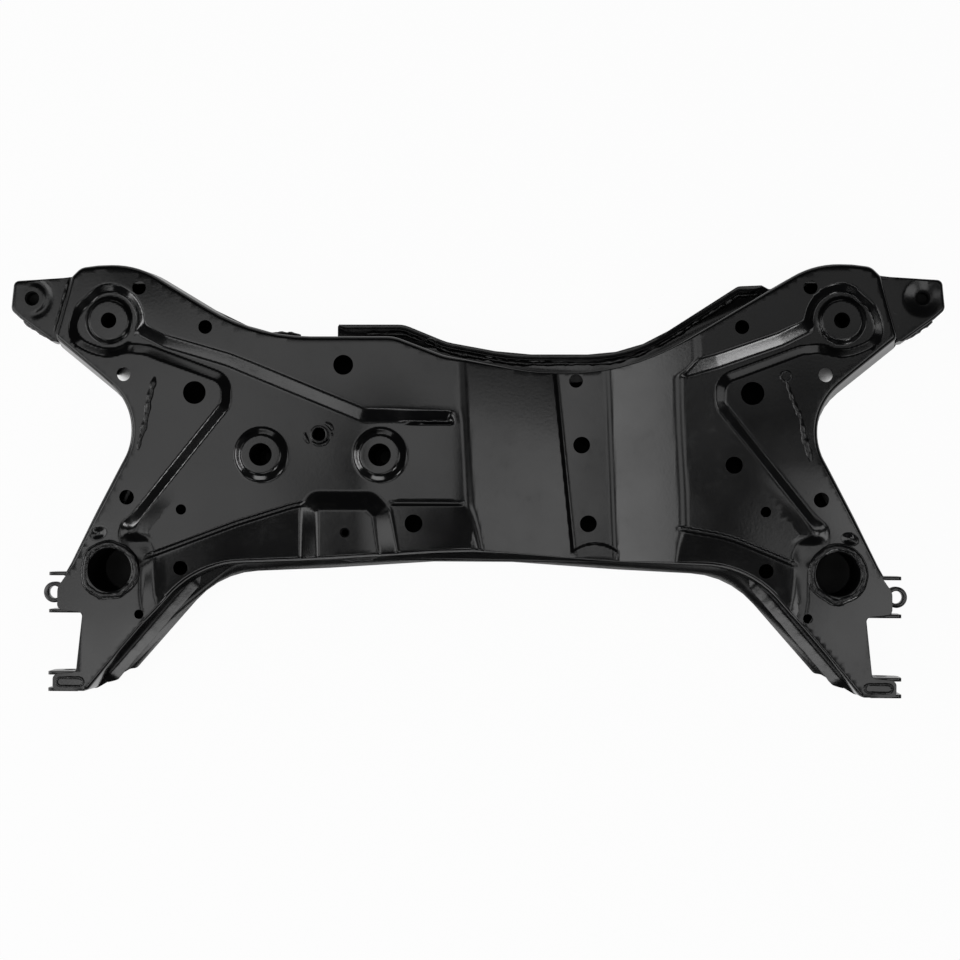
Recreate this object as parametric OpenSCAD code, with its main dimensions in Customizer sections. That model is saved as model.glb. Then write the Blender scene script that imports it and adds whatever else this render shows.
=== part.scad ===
// Front suspension subframe: two pressed steel shells welded into a shallow box, with horn
// brackets, body sleeves and control-arm pivot brackets. The pressed upper side looks up (+Z),
// the front of the car is towards -Y, and the origin is on the symmetry plane under the pan.

/* [Sheet and levels] */
// Thickness of the pressed sheet of both shells
sheet = 2.6; // [2.2:0.1:3]
// Height of the outer islands and the rear strip
high_z = 78; // [75:1:82]
// Depth of the pressed step from the islands down to the plateau
step_h = 7; // [5:0.5:9]
// Run of the sloped wall of that step
step_run = 9; // [6:0.5:11]
// Height of the seam where the upper skirt stands on the lower flange
seam_z = 32; // [28:1:36]
// Height of the floor of the centre trough
trough_z = 46; // [44:1:52]
// Inward lean of the upper skirt over its height
skirt_lean = 5; // [3:0.5:6]
// Inward lean of that skirt at the rear corners, behind the horn brackets
corner_lean = 7; // [5:0.5:8]
// Depth of the thin groove along the front folds
groove_h = 1.2; // [0.8:0.1:1.6]
// Fall of the front strip over its width of fold_w, in front of that groove
fold_h = 5.4; // [3:0.2:6]

/* [Outline] */
// Front edge of the upper shell at the middle, in front of the origin
front_reach = 72; // [68:1:76]
// Rear crown of the shells behind the origin
crown_reach = 218.5; // [214:0.5:224]
// Half width at the narrowest place of the sides, before rounding
waist_x = 333; // [328:1:338]
// Width of the lower weld flange on the sides
flange_w = 12; // [10:0.5:13]
// How far the lower flange shows in front of the upper shell
front_flange = 7.5; // [5:0.5:10]
// How far the lower flange shows behind the upper shell at the middle
rear_flange = 19; // [14:0.5:22]

/* [Body sleeves] */
// How far the body sleeves sit inwards of the pivot bolts
sleeve_inset = 46.5; // [43:0.5:50]
// Place of the body sleeves in front of the origin
sleeve_reach = 91.5; // [88:0.5:95]
// Bore of the body sleeves
sleeve_bore = 43.5; // [40:0.5:45]
// Wall of the body sleeves
sleeve_wall = 3.2; // [2.5:0.1:4]
// Width of the collar that seats each sleeve on the upper shell
collar_w = 2.8; // [2:0.1:4]
// Height of that collar
collar_h = 4; // [2:0.5:6]

/* [Rear pads] */
// How far the rear pads sit inwards of the horn bolts
pad_inset = 81.5; // [78:0.5:85]
// How far the rear pads sit in front of the rear crown
pad_back = 58.5; // [55:0.5:61]
// Bolt hole of the rear pads
pad_hole = 16; // [13:0.5:18]
// Diameter of the flat on top of each pad
pad_flat = 40; // [34:1:44]
// Height of the pads over the recess around them
pad_h = 3.5; // [2:0.5:5]
// Radius of the round recess around each pad
recess_r = 36; // [33:0.5:38]
// Outer diameter of the spacer tube under each pad
pad_tube = 30; // [26:1:34]

/* [Steering rack] */
// Distance between the two rack bolts
rack_pitch = 120; // [114:1:126]
// Place of the middle of the rack bolts to the left of the symmetry plane
rack_offset = 152; // [148:1:156]
// Place of the rack bolts behind the origin
rack_y = 25; // [22:0.5:28]
// Hole in the rack bosses
rack_hole = 23; // [20:0.5:25]
// Flat on top of the rack bosses
rack_flat = 40; // [36:1:44]
// Foot of the rack bosses
rack_foot = 54; // [50:1:58]
// Height of the rack bosses over the plateau
rack_h = 6; // [4:0.5:8]
// Outer diameter of the spacer tube under each boss
rack_tube = 34; // [30:1:36]
// Bolt hole in the pan below each boss
rack_bolt = 13; // [11:0.5:15]

/* [Horn brackets] */
// Half distance between the horn bolts
horn_x = 449; // [446:0.5:451]
// How far the horn bolts sit in front of the rear crown
horn_back = 35; // [32:0.5:38]
// Bolt hole of the horns
horn_hole = 15; // [13:0.5:16]
// Sheet of the horn brackets
horn_sheet = 3; // [2.5:0.1:3.5]
// Height of the top of the horn plates
horn_z = 63; // [58:1:66]
// Depth of the rim of the horn brackets
horn_rim = 24; // [16:1:27]

/* [Control-arm pivots] */
// Half distance between the pivot bolts
pivot_x = 410; // [408:0.5:412]
// Height of the pivot bolts
pivot_z = 46; // [45:0.5:46]
// Bolt hole of the pivots
pivot_hole = 13; // [11:0.5:14]
// Place of the rear face of the notch in front of the origin
notch_reach = 135; // [133:0.5:137]
// Clear width of the notch for the arm bush
notch_w = 59; // [56:0.5:61]
// Depth of the channel bracket behind the notch
channel_d = 41; // [39:0.5:43]
// Depth of the ear in front of the notch
ear_d = 20; // [18:0.5:22]
// Plate of the pivot brackets
plate_t = 3.5; // [3:0.1:4]
// How far the pivot brackets reach out past the pivot bolts
bracket_reach = 17; // [15:0.5:20]
// Length of the channel brackets from web to end
channel_len = 37; // [35:0.5:39]
// Length of the ear brackets from web to end
ear_len = 31; // [29:0.5:33]
// Bore of the tie eyes
eye_bore = 12.6; // [10:0.2:14]
// Outer diameter of the tie eyes
eye_od = 21; // [19:0.5:23]
// Height of the tie eyes
eye_h = 10; // [7:0.5:10]

/* [Fasteners and small parts] */
// Width across flats of the pivot nuts
pivot_nut_af = 19; // [17:0.5:20]
// Height of the pivot nuts
pivot_nut_h = 10; // [8:0.5:12]
// Width across flats of the horn nuts
horn_nut_af = 21; // [19:0.5:22]
// Height of the horn nuts
horn_nut_h = 11; // [8:0.5:13]
// Closed end of the horn nuts, which keeps road dirt out of the thread
horn_nut_cap = 2.5; // [2:0.5:4]
// Outer diameter of the threaded collar on the plateau
stud_od = 18; // [16:0.5:20]
// Bore of that collar and of the hole below it
stud_bore = 13; // [10:0.5:14]
// Height of that collar
stud_h = 7; // [5:0.5:9]
// Height of the front hat over the plateau
hat_h = 6; // [4:0.5:7]
// Hole in the front hat
hat_hole = 10; // [8:0.5:11]
// Width across flats of the nut under the hat
hat_nut_af = 14; // [12:0.5:16]
// Height of the nut under the hat
hat_nut_h = 6.5; // [5:0.5:8]
// Clearance of a tube in the hole that it passes through
slip = 0.3; // [0.2:0.05:0.5]

/* [Hidden] */
$fn = 64;
paint = "#2c2e31";
low_z = high_z - step_h;
under_low = low_z - sheet;
under_high = high_z - sheet;
pan_gap = 5;
over = 4;
sides = [-1, 1];

notch_rear_y = -notch_reach;
ear_rear_y = notch_rear_y - notch_w;
ear_front_y = ear_rear_y - ear_d;
sleeve_x = pivot_x - sleeve_inset;
sleeve_y = -sleeve_reach;
sleeve_od = sleeve_bore + 2 * sleeve_wall;
rack_xs = [-rack_offset - rack_pitch / 2, -rack_offset + rack_pitch / 2];
bracket_end = pivot_x + bracket_reach;
channel_x = bracket_end - channel_len;
ear_x = bracket_end - ear_len;
eye_x = bracket_end - 5;
eye_y = notch_rear_y + channel_d / 2;
eye_shank = 14;
horn_thread = 12;
pivot_thread = 10.5;
hat_thread = 6.8;
pad_x = horn_x - pad_inset;
pad_y = crown_reach - pad_back;
horn_y = crown_reach - horn_back;
horn_edge = [
    [horn_x - 54, horn_y + 23.5, 1],
    [horn_x + 20, horn_y + 19, 7],
    [horn_x + 23, horn_y - 12, 9],
    [horn_x + 13, horn_y - 21, 8],
    [horn_x - 20, horn_y - 45, 4],
    [horn_x - 54, horn_y - 33.5, 1]
];

// Places on the right half; the left half mirrors them. Each entry is [x, y, corner radius].
limb = [bracket_end - 23, notch_rear_y + 51];
waist = [waist_x, 61.5];
side_edge = [
    [bracket_end - 5, ear_front_y, 6],
    [bracket_end - 5, ear_rear_y - 2, 6],
    [bracket_end - 29, ear_rear_y, 4],
    [bracket_end - 35, notch_rear_y, 4],
    [bracket_end - 9, notch_rear_y + 3, 6],
    [bracket_end - 9, notch_rear_y + 25, 14],
    [limb[0], limb[1], 40],
    [waist[0], waist[1], 56],
    [horn_x - 19, horn_y - 43.5, 12],
    [horn_x - 38, horn_y + 23.5, 14],
    [horn_x - 51, crown_reach - 1, 18],
    [horn_x - 110, crown_reach, 90]
];
ear_corner = [bracket_end - 41, ear_front_y, 9];
// Inside of the straight side between limb and waist at a place y, set back by a distance.
function inboard(y, back) = [limb[0] + (waist[0] - limb[0]) * (y - limb[1]) / (waist[1] - limb[1]) - back, y];
gusset_ends = [[waist[0] - 17, waist[1] + 38.5], inboard(25, 14.8)];
upper_front = [
    [150, -front_reach - 10, 300],
    [277, -front_reach - 15, 100],
    ear_corner
];
lower_front = [
    [150, -front_reach - 10 - front_flange, 300],
    [259, -front_reach - 15 - front_flange, 90],
    [bracket_end - 82, ear_rear_y + 1, 6],
    [bracket_end - 75, ear_rear_y, 6],
    ear_corner
];
// The rear edge is not symmetric: it steps down from left to right behind the trough.
rear_low_y = crown_reach - 108;
rear_high_y = crown_reach - 72.5;
upper_rear = [
    [160, rear_low_y, 230],
    [58, rear_low_y, 200],
    [-28, rear_low_y + 16.5, 60],
    [-78, rear_high_y, 40],
    [231 - horn_x, rear_high_y, 200]
];
lower_rear = [
    [horn_x - 149, crown_reach - 23, 4],
    [horn_x - 157, crown_reach - 18.5, 3],
    [horn_x - 181, crown_reach - 19.5, 10],
    [160, rear_low_y + rear_flange, 150],
    [40, rear_low_y + rear_flange, 200],
    [-28, rear_low_y + rear_flange + 12.5, 60],
    [-72, rear_high_y + 14, 30],
    [309 - horn_x, rear_high_y + 14, 3],
    [309 - horn_x, rear_high_y, 2],
    [231 - horn_x, rear_high_y, 200]
];
upper_outline = rounded(concat(
    [[0, -front_reach, 600]], upper_front, side_edge,
    upper_rear, flipped(side_edge), flipped(upper_front)
));
lower_outline = rounded(concat(
    [[0, -front_reach - front_flange, 600]], lower_front, side_edge,
    lower_rear, flipped(side_edge), flipped(lower_front)
));

// Foot of the pressed step, on the plateau side. The islands and the rear strip stay high.
rack_space_y = rack_y + 32.5;
band_foot = [
    [27.5 - pad_x, pad_y - 13, 8],
    [55.5 - pad_x, pad_y - 27, 40],
    [-248, pad_y - 46, 60],
    [-110, rack_space_y, 30],
    [-16, rack_space_y, 1]
];
island_foot = [
    [18.5 - sleeve_x, sleeve_y + 37.5, 9],
    [-243, pad_y - 86, 22],
    [-243, pad_y - 56, 22],
    [41.5 - pad_x, pad_y - 25, 30],
    [14.5 - pad_x, pad_y - 23, 4]
];
right_band_foot = [
    [215, pad_y - 56, 1],
    [246, pad_y - 47, 20],
    [pad_x - 58.5, pad_y - 25, 40],
    [pad_x - 22.5, pad_y - 7, 8]
];
beyond_side = bracket_end + 40;
beyond_front = ear_front_y - 60;
plateau_left = concat(
    band_foot,
    [[20, rack_space_y, 1], [20, beyond_front, 1], [-waist_x, beyond_front, 1], [-beyond_side, beyond_front, 1]],
    [[-beyond_side, sleeve_y + 29.5, 1], [-channel_x, sleeve_y + 31.5, 20]],
    island_foot
);
plateau_right = concat(
    flipped(island_foot),
    [[channel_x, sleeve_y + 31.5, 20], [beyond_side, sleeve_y + 29.5, 1]],
    [[beyond_side, beyond_front, 1], [waist_x, beyond_front, 1], [20, beyond_front, 1], [20, pad_y - 56, 1]],
    right_band_foot
);

// Round holes of the upper shell as [x, y, diameter]: pairs on both sides, then single ones.
rear_side = unit([horn_x - 19, horn_y - 43.5] - waist);
gauge_side = waist + rear_side * 41.7;
gauge_at = gauge_side + quarter(rear_side) * 22.9;
access_at = [waist_x - 54, 87];
pair_holes = [
    [pad_x - 31.5, pad_y + 32.5, 14], [pad_x - 99, pad_y - 7, 14], [gauge_at[0], gauge_at[1], 14],
    [access_at[0], access_at[1], 23], concat(inboard(-18.5, 25), 15), [293, -30.5, 10.5],
    [sleeve_x - 70, sleeve_y + 2, 14.5], [sleeve_x - 29.5, sleeve_y - 44.5, 9.5]
];
single_holes = [
    [-129, rear_high_y - 31, 20], [-58, -43.5, 18], [261.5, 16, 17],
    [104, rear_low_y - 9, 14], [110, 36.5, 17], [117, -43, 17]
];
// Access and drain holes of the pan, as [x, y, diameter] on both sides.
pan_holes = [
    [gauge_at[0] + 8, gauge_at[1] + 2.5, 30], [sleeve_x - 38.5, sleeve_y + 33.5, 16],
    [215, -20, 26], [190, rear_low_y - 20.5, 12]
];
stud_at = [-rack_offset - 1, rack_y + 20.5];
hat_at = [-126.5, -53];
// Lines of the two grooves behind which the plateau folds down to the front edge.
fold_w = 60;
front_fold = [[-330, -79, 1], [-236, -44, 120], [-169, -23, 120], [-80, -23, 1], [20, -23, 1]];
right_fold = [[190, -44, 1], [257, -56, 150], [325, -84, 1]];
// Trough edges at the rear and the front end, as [rear x, front x].
trough_left = [-14, 5];
trough_floor_left = [78, 109];
trough_floor_right = [134, 146];
trough_right = [222, 236];
trough_ends = [170, -130];

function unit(v) = v / norm(v);
function flipped(list) = [for (i = [len(list) - 1 : -1 : 0]) [-list[i][0], list[i][1], list[i][2]]];
function flat2(p) = [p[0], p[1]];
function turn_of(a, b) = atan2(a[0] * b[1] - a[1] * b[0], a * b);
function quarter(v) = [-v[1], v[0]];

// One rounded corner: an arc of radius p[2] between the straight runs to the neighbours.
function corner(before, p, after) =
    let (
        into = unit(flat2(p) - flat2(before)),
        out = unit(flat2(after) - flat2(p)),
        turn = turn_of(into, out),
        reach = p[2] * tan(abs(turn) / 2),
        side = turn > 0 ? 1 : -1,
        start = flat2(p) - into * reach,
        middle = start + quarter(into) * side * p[2],
        steps = max(1, ceil(abs(turn) / 11))
    )
    abs(turn) < 1 || p[2] < 2 ? [flat2(p)] : [
        for (i = [0 : steps])
            let (a = turn * i / steps, spoke = start - middle)
            middle + [spoke[0] * cos(a) - spoke[1] * sin(a), spoke[0] * sin(a) + spoke[1] * cos(a)]
    ];
function rounded(list) =
    let (n = len(list))
    [for (i = [0 : n - 1]) each corner(list[(i + n - 1) % n], list[i], list[(i + 1) % n])];
function rounded_run(list) =
    let (n = len(list))
    [for (i = [0 : n - 1])
        each (i == 0 || i == n - 1 ? [flat2(list[i])] : corner(list[i - 1], list[i], list[i + 1]))];

// Mitred left-hand normal at each point of a path.
function miter(before, p, after) =
    let (
        a = quarter(unit(p - before)),
        b = quarter(unit(after - p)),
        m = unit(a + b)
    )
    m / max(0.3, m * a);

// Sweeps a section of [sideways, height] points along a path. Sections are counterclockwise.
module sweep(path, sections, closed) {
    n = len(path);
    k = len(sections[0]);
    last = closed ? n - 1 : n - 2;
    normals = [
        for (i = [0 : n - 1])
            let (
                before = i > 0 ? path[i - 1] : (closed ? path[n - 1] : 2 * path[0] - path[1]),
                after = i < n - 1 ? path[i + 1] : (closed ? path[0] : 2 * path[n - 1] - path[n - 2])
            )
            miter(before, path[i], after)
    ];
    points = [
        for (i = [0 : n - 1], s = sections[i])
            [path[i][0] + normals[i][0] * s[0], path[i][1] + normals[i][1] * s[0], s[1]]
    ];
    walls = [
        for (i = [0 : last], j = [0 : k - 1])
            let (
                a = i * k + j,
                b = i * k + (j + 1) % k,
                c = ((i + 1) % n) * k + (j + 1) % k,
                d = ((i + 1) % n) * k + j
            )
            each [[a, d, c], [a, c, b]]
    ];
    caps = closed ? [] : [
        [for (j = [0 : k - 1]) j],
        [for (j = [k - 1 : -1 : 0]) (n - 1) * k + j]
    ];
    polyhedron(points, concat(walls, caps), convexity = 8);
}

// Lean of the skirt at a place: full towards the middle, more at the rear corners and nearly
// upright along the limbs.
function lean_at(p) = p[1] > waist[1]
    ? skirt_lean + (corner_lean - skirt_lean) * max(0, min(1, (abs(p[0]) - waist_x) / 50))
    : max(0.6, skirt_lean * min(1, (channel_x - abs(p[0])) / 40));

// What lies outside the leaning skirt, at a depth d below the outer skin.
module skirt_cut(d) {
    rise = high_z - seam_z;
    sections = [
        for (p = upper_outline)
            let (lean = lean_at(p))
            [[-over, seam_z - 2], [d - 2 * lean / rise, seam_z - 2],
             [d + lean * (1 + over / rise), high_z + over], [-over, high_z + over]]
    ];
    sweep(upper_outline, sections, true);
}

// Sloped wall of the pressed step above a foot line, cut from the high level.
module step_slope(run, d) {
    path = rounded_run(run);
    rise = step_h + over;
    section = [[-1, low_z - d], [d * 0.45, low_z - d], [d * 0.45 + step_run * rise / step_h, high_z - d + over],
        [-1, high_z - d + over]];
    sweep(path, [for (p = path) section], false);
}

// Front strip of the plateau: a groove along the fold, then a slow fall that fades out at the
// ends of the line.
module front_strip(run, d) {
    path = rounded_run(run);
    half_groove = 3;
    first = path[0][0];
    last = path[len(path) - 1][0];
    sections = [
        for (p = path)
            let (fade = min(1, (p[0] - first) / fold_w, (last - p[0]) / fold_w))
            [[-fold_w, low_z - d - 0.01 - fold_h * fade], [-half_groove, low_z - d - 0.01],
             [0, low_z - d - 0.01 - groove_h * fade], [half_groove, low_z - d - 0.01],
             [half_groove, high_z + over], [-fold_w, high_z + over]]
    ];
    sweep(path, sections, false);
}

module low_area() {
    polygon(rounded(plateau_left));
    polygon(rounded(plateau_right));
    for (s = sides) translate([s * pad_x, pad_y]) circle(r = recess_r);
}

module trough(d) {
    rise = high_z - trough_z;
    module end(i) {
        y = trough_ends[i];
        up = (over + d) / rise;
        slope_l = trough_floor_left[i] - trough_left[i];
        slope_r = trough_right[i] - trough_floor_right[i];
        translate([0, y, 0]) rotate([90, 0, 0]) linear_extrude(0.01) polygon([
            [trough_floor_left[i], trough_z - d],
            [trough_floor_right[i], trough_z - d],
            [trough_right[i] + slope_r * up, high_z + over],
            [trough_left[i] - slope_l * up, high_z + over]
        ]);
    }
    hull() {
        end(0);
        end(1);
    }
}

// Flat hat on the front strip. Its sloped walls run on down to where the strip has fallen to.
module hat(d) {
    foot = [[-173, -130], [-65, -130], [-76, -29], [-94, -11], [-155, -11], [-172, -31]];
    top = [[-155, -130], [-83, -130], [-97, -37], [-104, -30], [-151, -30], [-154, -33]];
    wall_run = 18;
    intersection() {
        translate([0, 0, seam_z]) linear_extrude(high_z - seam_z + over)
            offset(delta = -d) polygon(upper_outline);
        hull() {
            translate([0, 0, low_z - d - fold_h]) linear_extrude(0.01)
                offset(delta = fold_h * wall_run / hat_h) polygon(foot);
            translate([0, 0, low_z - d + hat_h - 0.01]) linear_extrude(0.01) polygon(top);
        }
    }
}

// Solid that ends at the pressed upper skin, set back by d. The shell is the skin at 0 less
// the same form at one sheet thickness.
module press_form(d) {
    base_z = d > 0 ? seam_z - 1 : seam_z;
    difference() {
        union() {
            difference() {
                translate([0, 0, base_z]) linear_extrude(high_z - d - base_z)
                    offset(delta = -d) polygon(upper_outline);
                translate([0, 0, low_z - d]) linear_extrude(step_h + d + 1)
                    offset(delta = d * 0.45) low_area();
                for (foot = [band_foot, right_band_foot, island_foot, flipped(island_foot)])
                    step_slope(foot, d);
                for (fold = [front_fold, right_fold]) front_strip(fold, d);
            }
            for (x = rack_xs) translate([x, rack_y, low_z - d - 0.01])
                cylinder(h = rack_h + 0.01, d1 = rack_foot - d, d2 = rack_flat - d);
            for (s = sides) translate([s * pad_x, pad_y, low_z - d - 0.01])
                cylinder(h = pad_h + 0.01, d1 = pad_flat + 2 * pad_h - d, d2 = pad_flat - d);
            hat(d);
        }
        trough(d);
        skirt_cut(d);
    }
}

module drill(x, y, d) {
    translate([x, y, -over]) cylinder(h = high_z + 4 * over, d = d);
}

module upper_shell() {
    color(paint) difference() {
        press_form(0);
        press_form(sheet);
        for (s = sides, h = pair_holes) drill(s * h[0], h[1], h[2]);
        for (h = single_holes) drill(h[0], h[1], h[2]);
        for (s = sides) {
            drill(s * pad_x, pad_y, pad_hole);
            drill(s * sleeve_x, sleeve_y, sleeve_od + 2 * slip);
            pivot_windows(s);
        }
        for (x = rack_xs) drill(x, rack_y, rack_hole);
        drill(stud_at[0], stud_at[1], stud_bore);
        drill(hat_at[0], hat_at[1], hat_hole);
    }
}

// The skirt is open where the pivot brackets come through; the plate runs on over them.
module pivot_windows(s) {
    clear_h = under_low - seam_z + over;
    side(s) {
        translate([channel_x - slip, notch_rear_y - slip, seam_z - over])
            cube([bracket_end - channel_x + over, channel_d + 2 * slip, clear_h]);
        translate([ear_x - slip, ear_front_y - over, seam_z - over])
            cube([bracket_end - ear_x + over, ear_d + over + slip, clear_h]);
    }
}

// The right-hand piece for s = 1 and its mirror image for s = -1.
module side(s) {
    mirror([s < 0 ? 1 : 0, 0, 0]) children();
}

module pan_area(inset) {
    offset(delta = -inset) intersection() {
        offset(delta = -flange_w) polygon(lower_outline);
        offset(delta = -pan_gap - sheet) polygon(upper_outline);
    }
}

module lower_shell() {
    color(paint) difference() {
        union() {
            translate([0, 0, seam_z - sheet]) linear_extrude(sheet) polygon(lower_outline);
            linear_extrude(seam_z - sheet / 2) pan_area(0);
        }
        translate([0, 0, sheet]) linear_extrude(seam_z) pan_area(sheet);
        for (s = sides) {
            drill(s * sleeve_x, sleeve_y, sleeve_od + 2 * slip);
            drill(s * pad_x, pad_y, pad_hole);
            for (h = pan_holes) drill(s * h[0], h[1], h[2]);
        }
        for (x = rack_xs) drill(x, rack_y, rack_bolt);
    }
}

module tube(od, bore, h) {
    difference() {
        cylinder(h = h, d = od);
        translate([0, 0, -over]) cylinder(h = h + 2 * over, d = bore);
    }
}

// A hexagon nut, open at both ends unless its lower end has a cap.
module hex_nut(af, bore, h, cap = 0) {
    difference() {
        cylinder(h = h, d = af / cos(30), $fn = 6);
        translate([0, 0, cap > 0 ? cap : -over]) cylinder(h = h + 2 * over, d = bore);
    }
}

// The room outside the leaning skirt of the right rear corner.
module outside_corner() {
    reach = 80;
    path = rounded_run(concat([gauge_side], [for (i = [8 : 11]) side_edge[i]]));
    sections = [for (p = path) [[-reach, seam_z], [0, seam_z], [lean_at(p), high_z], [-reach, high_z]]];
    sweep(path, sections, false);
}

// Pressed bracket that carries a body bolt outside the rear corner of the shells.
module horn_bracket(s) {
    plan = rounded(horn_edge);
    color(paint) side(s) difference() {
        intersection() {
            translate([0, 0, horn_z - horn_rim]) linear_extrude(horn_rim) polygon(plan);
            outside_corner();
        }
        translate([0, 0, horn_z - horn_rim - over]) linear_extrude(horn_rim - horn_sheet + over)
            offset(delta = -horn_sheet) polygon(plan);
        translate([horn_x, horn_y, 0]) cylinder(h = high_z, d = horn_hole);
    }
}

module horn_nut(s) {
    color(paint) side(s)
        translate([horn_x, horn_y, horn_z - horn_sheet - horn_nut_h])
            hex_nut(horn_nut_af, horn_thread, horn_nut_h, horn_nut_cap);
}

module body_sleeve(s) {
    color(paint) translate([s * sleeve_x, sleeve_y, 0]) {
        tube(sleeve_od, sleeve_bore, low_z + collar_h);
        translate([0, 0, low_z]) tube(sleeve_od + 2 * collar_w, sleeve_bore, collar_h);
    }
}

module pad_spacer(s) {
    color(paint) translate([s * pad_x, pad_y, sheet])
        tube(pad_tube, pad_hole, under_low + pad_h - sheet);
}

module rack_spacer(i) {
    color(paint) translate([rack_xs[i], rack_y, sheet])
        tube(rack_tube, rack_hole, under_low + rack_h - sheet);
}

module threaded_collar() {
    color(paint) translate([stud_at[0], stud_at[1], low_z]) tube(stud_od, stud_bore, stud_h);
}

module hat_nut() {
    color(paint) translate([hat_at[0], hat_at[1], under_low + hat_h - hat_nut_h])
        hex_nut(hat_nut_af, hat_thread, hat_nut_h);
}

// A channel folded from plate, open outwards: web at x0, walls at both ends of its depth.
module folded_channel(x0, y0, depth) {
    profile = rounded([
        [x0, seam_z, 0], [bracket_end, seam_z + 8, 8], [bracket_end, under_low, 4], [x0, under_low, 0]
    ]);
    difference() {
        translate([0, y0 + depth, 0]) rotate([90, 0, 0]) linear_extrude(depth) polygon(profile);
        translate([x0 + plate_t, y0 + plate_t, 0])
            cube([bracket_end, depth - 2 * plate_t, high_z]);
    }
}

module pivot_drill() {
    translate([pivot_x, ear_front_y - over, pivot_z]) rotate([-90, 0, 0])
        cylinder(h = notch_w + ear_d + plate_t + 2 * over, d = pivot_hole);
}

module pivot_bracket(s) {
    color(paint) side(s) difference() {
        folded_channel(channel_x, notch_rear_y, channel_d);
        pivot_drill();
    }
}

module ear_bracket(s) {
    color(paint) side(s) difference() {
        folded_channel(ear_x, ear_front_y, ear_d);
        pivot_drill();
    }
}

module pivot_nut(s) {
    color(paint) side(s) translate([pivot_x, notch_rear_y + plate_t, pivot_z])
        rotate([-90, 0, 0]) hex_nut(pivot_nut_af, pivot_thread, pivot_nut_h);
}

// Upright eye on a flat shank that is welded to the web of the pivot bracket.
module tie_eye(s) {
    root_x = channel_x + plate_t;
    color(paint) side(s) translate([0, eye_y, under_low - eye_h]) difference() {
        union() {
            translate([eye_x, 0, 0]) cylinder(h = eye_h, d = eye_od);
            translate([root_x, -eye_shank / 2, 0]) cube([eye_x - root_x, eye_shank, eye_h]);
        }
        translate([eye_x, 0, -over]) cylinder(h = eye_h + 2 * over, d = eye_bore);
    }
}

module gusset(s) {
    run = gusset_ends[1] - gusset_ends[0];
    color(paint) side(s) translate([gusset_ends[0][0], gusset_ends[0][1], seam_z])
        rotate([0, 0, atan2(run[1], run[0])]) translate([0, -sheet / 2, 0])
            cube([norm(run), sheet, under_high - seam_z]);
}

upper_shell();
lower_shell();
horn_bracket(-1);  // left_horn_bracket
horn_bracket(1);  // right_horn_bracket
horn_nut(-1);  // left_horn_nut
horn_nut(1);  // right_horn_nut
body_sleeve(-1);  // left_body_sleeve
body_sleeve(1);  // right_body_sleeve
pad_spacer(-1);  // left_pad_spacer
pad_spacer(1);  // right_pad_spacer
rack_spacer(0);  // left_rack_spacer
rack_spacer(1);  // right_rack_spacer
threaded_collar();
hat_nut();
pivot_bracket(-1);  // left_pivot_bracket
pivot_bracket(1);  // right_pivot_bracket
pivot_nut(-1);  // left_pivot_nut
pivot_nut(1);  // right_pivot_nut
tie_eye(-1);  // left_tie_eye
tie_eye(1);  // right_tie_eye
ear_bracket(-1);  // left_ear_bracket
ear_bracket(1);  // right_ear_bracket
gusset(-1);  // left_gusset
gusset(1);  // right_gusset
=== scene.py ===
# %% [markdown]
# A front suspension subframe, dressed for a studio picture. On the car it is two steel
# pressings welded edge to edge into a shallow box, with brackets, sleeves and nuts welded on,
# then dipped in black paint. The CAD model fixes every size and place, so this lesson starts by
# loading it as a frame and keeps its box.

# %% Load the CAD frame
import math

import bmesh
import bpy
import numpy as np
from mathutils import Matrix, Vector, noise


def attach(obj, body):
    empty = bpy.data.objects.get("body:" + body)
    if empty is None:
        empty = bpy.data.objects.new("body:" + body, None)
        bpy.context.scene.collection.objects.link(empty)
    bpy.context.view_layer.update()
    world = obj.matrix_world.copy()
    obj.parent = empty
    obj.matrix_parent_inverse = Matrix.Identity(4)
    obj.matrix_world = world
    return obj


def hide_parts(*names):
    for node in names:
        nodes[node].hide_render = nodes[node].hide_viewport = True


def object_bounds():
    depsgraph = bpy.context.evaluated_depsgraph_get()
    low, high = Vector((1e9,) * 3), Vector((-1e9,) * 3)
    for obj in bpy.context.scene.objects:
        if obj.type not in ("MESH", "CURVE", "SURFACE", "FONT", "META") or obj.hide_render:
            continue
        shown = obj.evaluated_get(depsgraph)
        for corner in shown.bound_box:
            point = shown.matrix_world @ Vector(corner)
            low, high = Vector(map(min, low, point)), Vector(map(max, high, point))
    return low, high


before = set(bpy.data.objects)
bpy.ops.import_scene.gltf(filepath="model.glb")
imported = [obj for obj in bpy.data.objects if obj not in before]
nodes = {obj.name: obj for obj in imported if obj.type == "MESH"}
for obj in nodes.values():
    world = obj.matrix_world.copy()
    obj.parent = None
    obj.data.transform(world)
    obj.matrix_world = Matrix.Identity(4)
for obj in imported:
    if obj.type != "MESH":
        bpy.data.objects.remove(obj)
cad_low, cad_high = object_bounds()
MM = 0.001
print("CAD nodes:", len(nodes), "box from", tuple(cad_low), "to", tuple(cad_high))

# %% [markdown]
# Shader sums are easier to read as Python than as a wall of nodes. One small class holds an
# output socket; each operator adds one Math node, and every other node comes from `add`.

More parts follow.
